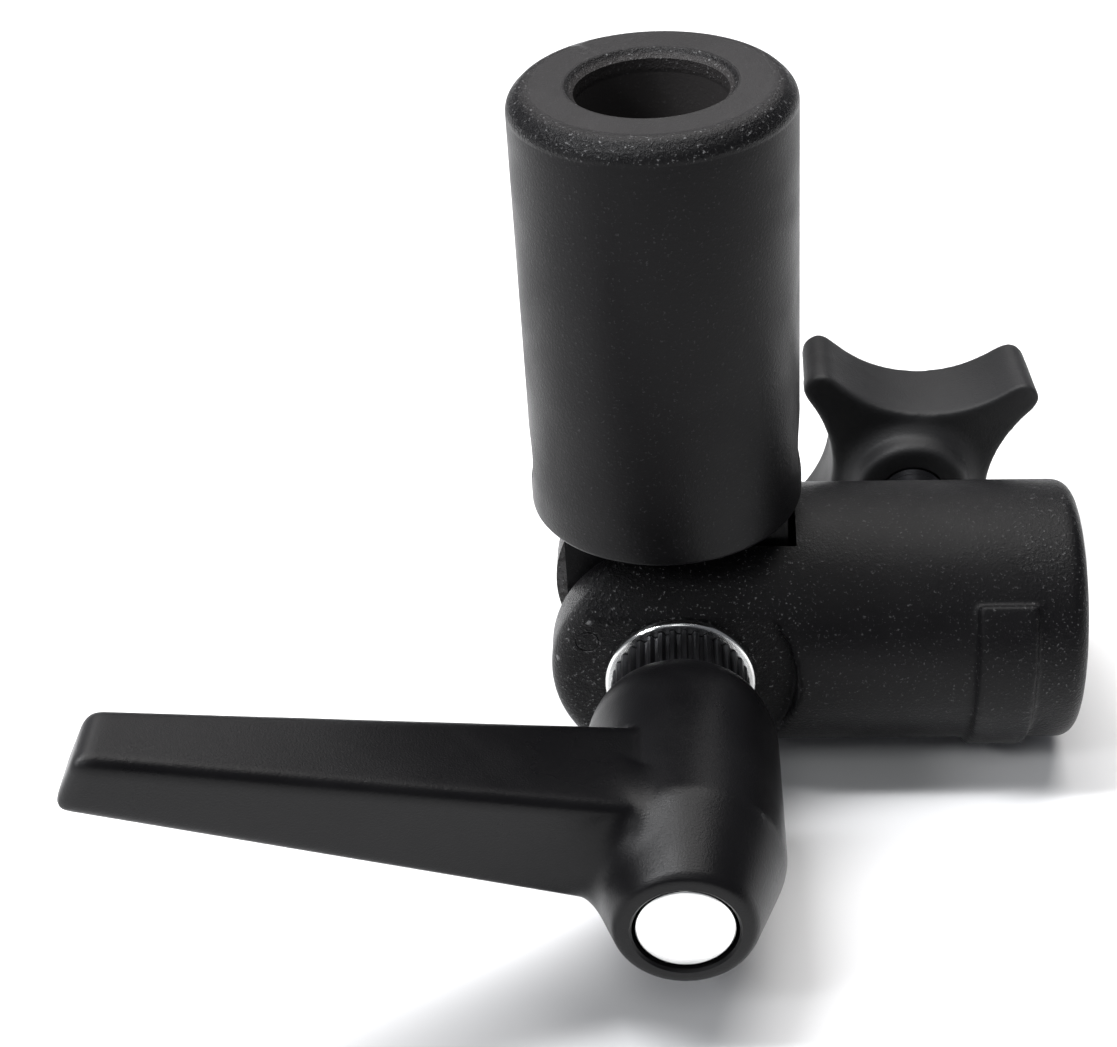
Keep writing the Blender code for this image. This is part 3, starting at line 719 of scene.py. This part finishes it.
def machine_lever(body):
    """Bored from both ends: for the cap and spring in the nose, and for the ratchet collar."""
    step = 0.25 * MM
    bore = [(0, NOSE_END + MM), (NOSE_BORE_R + step + MM, NOSE_END + MM),
            (NOSE_BORE_R, NOSE_END - step), (NOSE_BORE_R, WEB[1]), (WEB_HOLE_R, WEB[1]),
            (WEB_HOLE_R, WEB[0]), (HUB_BORE_R, WEB[0]), (HUB_BORE_R, HUB_BACK - MM), (0, HUB_BACK - MM)]
    work(body, turned("lever_bore", bore, TO_FRONT), solver='MANIFOLD')


def lever_black():
    """Smooth satin coat: a tight even grain, a few bright nicks, and the tip rubbed pale."""
    made, tree, shader, where = blank_material("lever_black", 0.34, 0.0, 0.17)
    axes = plug(tree, "ShaderNodeSeparateXYZ", {"Vector": measured_from(tree, where, ARM)}).outputs
    grain = use_group(tree, GRAIN, where, Size=0.22 * MM, Fine=0.08 * MM)
    wear = use_group(tree, WEAR, where, Onset=0.56, Patch=1.6 * MM)
    handling = use_group(tree, HANDLING, where, Spread=12 * MM)
    colour = blend_colours(tree, maths(tree, 'MULTIPLY', handling["Sheen"], 0.45), COAT, COAT_THIN)
    at_tip = fraction(tree, axes["X"], 60.5 * MM, 63.5 * MM)
    worn = maths(tree, 'MAXIMUM', maths(tree, 'MULTIPLY', wear["Mask"], 0.08),
                 maths(tree, 'MULTIPLY', at_tip, 0.06))
    pale = maths(tree, 'MAXIMUM', worn, handling["Specks"])
    tree.links.new(blend_colours(tree, pale, colour, BARE_CASTING_AND_GLINT), shader.inputs["Base Color"])
    tree.links.new(fraction(tree, handling["Sheen"], 0.3, 0.7, 0.27, 0.37), shader.inputs["Roughness"])
    raise_surface(tree, shader, grain["Height"], 0.030 * MM)
    return made


lever = lever_casting()
machine_lever(lever)
dress(lever, "lever", "clamp_lever", lever_black())


# ---- Star knobs ----
# Four-lobed knobs in matt black moulded plastic, each pressed over the hexagon head of its stud.
# A plain cap closes the outer face. The stud's brass tip presses on the spigot in the bore.
KNOB_HUB = 24.0 * MM
KNOB_FACE = 27.5 * MM
KNOB_OUTER = 39.6 * MM
KNOB_HUB_R = 7.2 * MM
KNOB_WAIST = 10.2 * MM
KNOB_TIP = 20.1 * MM
KNOB_HOLLOW_R = 16.3 * MM
KNOB_TURN = 4.0
KNOB_LOBE_HALF = 6.2
KNOB_SKIN = 0.32 * MM
POCKET_R = 7.7 * MM
POCKET_FLOOR = 32.5 * MM
KNOB_DRAFT = 0.965


def star_outline():
    """Four hollows cut between four lobes, with the corners of each lobe's end rounded over."""
    centre = KNOB_WAIST + KNOB_HOLLOW_R
    corner = Vector((KNOB_TIP * math.cos(math.radians(45 - KNOB_LOBE_HALF)) - centre,
                     KNOB_TIP * math.sin(math.radians(45 - KNOB_LOBE_HALF))))
    open_angle = 180 - math.degrees(math.atan2(corner.y, corner.x))
    points = []
    for quarter in range(4):
        lobe = 45 + 90 * quarter + KNOB_TURN
        points += sweep((0, 0), KNOB_TIP, lobe - KNOB_LOBE_HALF, lobe + KNOB_LOBE_HALF, 5)
        hollow = lobe + 45
        middle = (centre * math.cos(math.radians(hollow)), centre * math.sin(math.radians(hollow)))
        first = hollow + 180 + open_angle
        points += sweep(middle, corner.length, first, first - 2 * open_angle, 28)[1:-1]
    for _ in range(5):
        befores = points[-1:] + points[:-1]
        afters = points[1:] + points[:1]
        points = [((before[0] + 2 * here[0] + after[0]) / 4, (before[1] + 2 * here[1] + after[1]) / 4)
                  for before, here, after in zip(befores, points, afters)]
    return points


def knob_moulding(name, place):
    """The star, a little narrower at its outer face, with its hub and the pocket for the stud."""
    form = bmesh.new()
    corners = [form.verts.new((across, along, KNOB_FACE)) for across, along in star_outline()]
    base = form.faces.new(corners)
    drawn = bmesh.ops.extrude_face_region(form, geom=[base])
    risen = [item for item in drawn["geom"] if isinstance(item, bmesh.types.BMVert)]
    bmesh.ops.translate(form, verts=risen, vec=(0, 0, KNOB_OUTER - KNOB_FACE))
    bmesh.ops.scale(form, verts=risen, vec=(KNOB_DRAFT, KNOB_DRAFT, 1))
    body = piece_from(name, form, place)
    lap = KNOB_FACE + 2 * MM
    ring_r = KNOB_HUB_R + 1.1 * MM
    hub = [(0, lap), (ring_r + 0.5 * MM, lap), (ring_r + 0.5 * MM, KNOB_FACE),
           (ring_r, KNOB_FACE - 0.6 * MM), (KNOB_HUB_R + 0.3 * MM, KNOB_FACE - 1.1 * MM),
           (KNOB_HUB_R, KNOB_HUB + 0.5 * MM), (KNOB_HUB_R - 0.5 * MM, KNOB_HUB), (0, KNOB_HUB)]
    work(body, turned("knob_hub", hub, place), 'UNION')
    cast_skin(body, KNOB_SKIN, 16)
    bore = [(0, KNOB_OUTER + MM), (POCKET_R + 1.3 * MM, KNOB_OUTER + MM),
            (POCKET_R, KNOB_OUTER - 0.3 * MM), (POCKET_R, POCKET_FLOOR), (THREAD_HOLE_R, POCKET_FLOOR),
            (THREAD_HOLE_R, KNOB_HUB - MM), (0, KNOB_HUB - MM)]
    work(body, turned("knob_bore", bore, place), solver='MANIFOLD')
    return body


def knob_black():
    """Moulded plastic: a fine matt grain, slightly shinier where fingers rub."""
    made, tree, shader, where = blank_material("knob_black", 0.55, 0.0, 0.30)
    grain = use_group(tree, GRAIN, where, Size=0.30 * MM, Fine=0.10 * MM)
    wear = use_group(tree, WEAR, where, Onset=0.55, Patch=1.2 * MM)
    handling = use_group(tree, HANDLING, where, Spread=7 * MM)
    colour = blend_colours(tree, handling["Sheen"], (0.0085, 0.0085, 0.0092), (0.016, 0.016, 0.0168))
    dust = maths(tree, 'MULTIPLY', handling["Specks"], 0.3)
    tree.links.new(blend_colours(tree, dust, colour, (0.20, 0.20, 0.20)), shader.inputs["Base Color"])
    sheen = fraction(tree, handling["Sheen"], 0.3, 0.7, 0.50, 0.60)
    tree.links.new(maths(tree, 'SUBTRACT', sheen, maths(tree, 'MULTIPLY', wear["Mask"], 0.14)),
                   shader.inputs["Roughness"])
    raise_surface(tree, shader, grain["Height"], 0.045 * MM)
    return made


THREAD_R = 4.0 * MM
THREAD_PITCH = 1.25 * MM


def threaded(start, end):
    """A thread's outline from start to end, as rings of crests and roots."""
    root = THREAD_R - 0.55 * MM
    points = []
    for turn in range(int((end - start) / THREAD_PITCH)):
        at = start + turn * THREAD_PITCH
        points += [(root, at + 0.10 * THREAD_PITCH), (THREAD_R, at + 0.40 * THREAD_PITCH),
                   (THREAD_R, at + 0.55 * THREAD_PITCH), (root, at + 0.85 * THREAD_PITCH)]
    return points


def chamfered_head(name, flats, low, high, place):
    """A hexagon head with its outer corners turned off."""
    head = plate(name, hexagon(flats), low, high, place)
    cone = 0.55 * flats
    past = high + 0.4 * MM
    turn = [(0, low - MM), (cone + 3 * MM, low - MM), (cone + 3 * MM, high - 2 * MM),
            (cone - 0.6 * MM, past), (0, past)]
    work(head, turned("head_turning", turn, place), 'INTERSECT')
    return head


def turned_metal(name, tint, roughness, ring_pitch, place):
    """Plated or plain turned metal: fine rings about its axis, and a little cloudiness."""
    made, tree, shader, where = blank_material(name, roughness, 1.0, 0.5)
    local = measured_from(tree, where, place)
    handling = use_group(tree, HANDLING, where, Spread=3 * MM)
    dull = tuple(0.90 * part for part in tint)
    colour = blend_colours(tree, fraction(tree, handling["Sheen"], 0.35, 0.7), tint, dull)
    tree.links.new(colour, shader.inputs["Base Color"])
    tree.links.new(fraction(tree, handling["Sheen"], 0.3, 0.7, roughness * 0.9, roughness * 1.15),
                   shader.inputs["Roughness"])
    rings = plug(tree, "ShaderNodeTexWave", {"Vector": local, "Scale": 0.5 / ring_pitch,
                                             "Distortion": 0.6, "Detail": 2.0},
                 wave_type='RINGS', rings_direction='Z')
    raise_surface(tree, shader, rings.outputs["Fac"], 0.006 * MM)
    return made


KNOB_BLACK = knob_black()
# Near-black steel: the collar's own finish, and also a painted shade on the studs under the knobs' hubs.
BLACKENED_AND_SHADE = (0.050, 0.050, 0.054)
BRASS = (0.66, 0.50, 0.24)
STUD_START = 10.7 * MM
STUD_HEAD = (32.7 * MM, 37.7 * MM)
STUD_HEAD_FLATS = 12.6 * MM
CAP_BACK = 38.0 * MM
CAP_DOME_R = 24.0 * MM
TIP_FACE = 8.4 * MM
TIP_R = 3.3 * MM
TIP_ROUND = 0.5 * MM
GAP = 0.3 * MM

for side in ("lower", "upper"):
    screw = knob_axis(side)
    screw_body = side + "_knob_screw"
    moulding = knob_moulding(side + "_knob_moulding", screw)
    dress(moulding, screw_body, side + "_knob", KNOB_BLACK, 50)

    cap_r = POCKET_R - GAP
    cap_edge = KNOB_OUTER - 0.55 * MM
    crown = cap_edge + 0.95 * MM
    cap = [(CAP_DOME_R * math.sin(t), crown - CAP_DOME_R * (1 - math.cos(t)))
           for t in (math.radians(2.0 * step) for step in range(8))]
    cap += [(cap_r - 0.35 * MM, cap_edge - 0.3 * MM), (cap_r, cap_edge - 0.75 * MM),
            (cap_r, CAP_BACK), (0, CAP_BACK)]
    end_cap = turned(side + "_end_cap", cap, screw)
    dress(end_cap, screw_body, side + "_knob_cap", KNOB_BLACK)

    # Painted shade: the stud is coloured near-black to stand for the shade it sits in under the knob's hub.
    shaded_stud_steel = turned_metal(side + "_stud_steel", BLACKENED_AND_SHADE, 0.38, 0.2 * MM, screw)
    lap = STUD_HEAD[0] + 0.5 * MM
    shank = [(0, STUD_START), (3.2 * MM, STUD_START)] + threaded(STUD_START + GAP, STUD_HEAD[0])
    shank += [(3.45 * MM, lap), (0, lap)]
    stud = chamfered_head(side + "_stud_bolt", STUD_HEAD_FLATS, *STUD_HEAD, screw)
    work(stud, turned("stud_shank", shank, screw, 64), 'UNION')
    dress(stud, screw_body, side + "_stud", shaded_stud_steel)

    tip = ([(0, TIP_FACE), (TIP_R - TIP_ROUND, TIP_FACE)]
           + sweep((TIP_R - TIP_ROUND, TIP_FACE + TIP_ROUND), TIP_ROUND, -90, 0, 4)
           + [(TIP_R, STUD_START - GAP), (0, STUD_START - GAP)])
    brass_tip = turned(side + "_brass_tip", tip, screw, 64)
    brass = turned_metal(side + "_tip_brass", BRASS, 0.32, 0.15 * MM, screw)
    dress(brass_tip, side + "_tip", side + "_clamp_tip", brass)


# ---- Pivot hardware ----
# A zinc-plated bolt runs through both ears and the tongue, its hexagon head held in the back ear.
# A polished washer and a toothed steel collar clamp the stack from the front; fibre discs grip.
# A screw and a spring keep the lever on the collar, and a polished plug closes its nose.
ZINC = (0.62, 0.62, 0.60)
SEAT_GAP = 0.15 * MM
WASHER_R = 8.6 * MM
WASHER_BACK = EAR_FACE + SEAT_GAP
WASHER_FRONT = WASHER_BACK + 1.25 * MM
COLLAR_END = 25.5 * MM
COLLAR_TEETH = 36
# One tooth, from root to crest and back: its share of the pitch, and the radius there.
TOOTH = ((0.00, 7.3 * MM), (0.30, 7.3 * MM), (0.42, 7.72 * MM),
         (0.52, 7.9 * MM), (0.80, 7.9 * MM), (0.90, 7.72 * MM))
NECK_R = 7.0 * MM
NECK_END = 35.7 * MM
NECK_BORE = (2.8 * MM, 28.5 * MM)
HEAD_SEAT = BOLT_POCKET_FLOOR + SEAT_GAP
HEAD_FLATS = 13.0 * MM
HEAD_HEIGHT = 5.3 * MM
BOLT_END = 27.5 * MM
DISC_R = 11.8 * MM
DISC_THICK = 0.8 * MM
SLEEVE_R = 5.4 * MM
SLEEVE_HALF = 5.2 * MM


def rounded_ring(inner, outer, low, high, edge):
    """Half section of a washer with its outer edges turned round."""
    return ([(inner, low)] + sweep((outer - edge, low + edge), edge, -90, 0, 4)
            + sweep((outer - edge, high - edge), edge, 0, 90, 4) + [(inner, high)])


def toothed_collar():
    """Straight teeth round a steel core that runs on into a plain neck."""
    outline = []
    for tooth in range(COLLAR_TEETH):
        for share, radius in TOOTH:
            turn = math.tau * (tooth + share) / COLLAR_TEETH
            outline.append((radius * math.cos(turn), radius * math.sin(turn)))
    body = plate("toothed_collar", outline, WASHER_FRONT + SEAT_GAP, COLLAR_END, TO_FRONT)
    neck = [(0, COLLAR_END - MM), (NECK_R, COLLAR_END - MM), (NECK_R, NECK_END), (0, NECK_END)]
    work(body, turned("collar_neck", neck, TO_FRONT, 64), 'UNION')
    narrow, step_at = NECK_BORE
    bore = [(0, WASHER_FRONT - MM), (THREAD_HOLE_R, WASHER_FRONT - MM), (THREAD_HOLE_R, step_at),
            (narrow, step_at), (narrow, 37 * MM), (0, 37 * MM)]
    work(body, turned("collar_bore", bore, TO_FRONT, 64))
    return body


def bolt():
    """The head, a plain shank, and a thread only at the end that the collar grips."""
    body = chamfered_head("pivot_bolt_body", HEAD_FLATS, HEAD_SEAT, HEAD_SEAT + HEAD_HEIGHT, TO_BACK)
    shank = [(0, 11 * MM), (THREAD_R, 11 * MM), (THREAD_R, -13 * MM)]
    shank += [(out, -along) for out, along in threaded(13.2 * MM, 27.2 * MM)]
    shank += [(3.4 * MM, -BOLT_END), (0, -BOLT_END)]
    work(body, turned("bolt_shank", shank, TO_BACK, 64), 'UNION')
    return body


def pressed_fibre():
    """Compressed friction fibre: near black, flecked with brown strands."""
    made, tree, shader, where = blank_material("pressed_fibre", 0.85, 0.0, 0.3)
    strands = plug(tree, "ShaderNodeTexNoise",
                   {"Vector": where, "Scale": 2600.0, "Detail": 4.0, "Distortion": 1.5})
    flecks = fraction(tree, strands.outputs["Fac"], 0.40, 0.75)
    tree.links.new(blend_colours(tree, flecks, (0.026, 0.023, 0.020), (0.075, 0.066, 0.054)),
                   shader.inputs["Base Color"])
    raise_surface(tree, shader, strands.outputs["Fac"], 0.05 * MM)
    return made


washer_steel = turned_metal("washer_steel", (0.86, 0.87, 0.86), 0.16, 0.12 * MM, TO_FRONT)
washer_profile = rounded_ring(THREAD_HOLE_R, WASHER_R, WASHER_BACK, WASHER_FRONT, 0.4 * MM)
washer = turned("polished_washer", washer_profile, TO_FRONT, 128, closed=True)
dress(washer, "clamp_washer", "front_washer", washer_steel)

dark_steel = turned_metal("blackened_steel", BLACKENED_AND_SHADE, 0.38, 0.15 * MM, TO_FRONT)
dress(toothed_collar(), "ratchet", "ratchet_insert", dark_steel)

zinc_bolt = turned_metal("bolt_zinc", ZINC, 0.30, 0.2 * MM, TO_BACK)
dress(bolt(), "base", "pivot_bolt", zinc_bolt)

fibre = pressed_fibre()
disc_low = TONGUE_HALF + SEAT_GAP
disc_profile = rounded_ring(THREAD_HOLE_R, DISC_R, disc_low, disc_low + DISC_THICK, 0.2 * MM)
for word, place in (("front", TO_FRONT), ("back", TO_BACK)):
    disc = turned("fibre_disc_" + word, disc_profile, place, closed=True)
    dress(disc, "base", "friction_disc_" + word, fibre)

sleeve_profile = rounded_ring(THREAD_HOLE_R, SLEEVE_R, -SLEEVE_HALF, SLEEVE_HALF, 0.3 * MM)
sleeve = turned("brass_sleeve", sleeve_profile, TO_BACK, closed=True)
sleeve_brass = turned_metal("sleeve_brass", BRASS, 0.38, 0.2 * MM, TO_BACK)
dress(sleeve, "head", "pivot_sleeve", sleeve_brass)

head_r = 4.6 * MM
head_edge = 0.5 * MM
head_top = 50 * MM
groove_floor = 49.2 * MM
screw_profile = ([(0, head_top), (1.6 * MM, head_top), (1.9 * MM, groove_floor),
                  (2.6 * MM, groove_floor), (2.9 * MM, head_top)]
                 + sweep((head_r - head_edge, head_top - head_edge), head_edge, 90, 0, 4)
                 + [(head_r, 47 * MM), (2.5 * MM, 47 * MM), (2.5 * MM, 30.3 * MM), (0, 30.3 * MM)])
zinc_front = turned_metal("screw_zinc", ZINC, 0.28, 0.15 * MM, TO_FRONT)
retainer = turned("retaining_screw_body", screw_profile, TO_FRONT)
dress(retainer, "ratchet", "retaining_screw", zinc_front)
spring_finish = frame["nodes"]["lever_spring"].data.materials
spring_finish.clear()
spring_finish.append(zinc_front)

plug_r = NOSE_BORE_R - GAP
plug_edge = 0.3 * MM
plug_back = NOSE_END - 1.8 * MM
nose = ([(0, NOSE_END - 0.28 * MM), (3.0 * MM, NOSE_END - 0.30 * MM),
         (plug_r - 0.35 * MM, NOSE_END - 0.36 * MM)]
        + sweep((plug_r - plug_edge, NOSE_END - 0.70 * MM), plug_edge, 80, 0, 4)
        + [(plug_r, plug_back), (0, plug_back)])
cap_steel = turned_metal("cap_steel", (0.93, 0.93, 0.92), 0.22, 0.18 * MM, TO_FRONT)
nose_plug = turned("polished_nose_cap", nose, TO_FRONT, 128)
dress(nose_plug, "lever", "nose_cap", cap_steel)
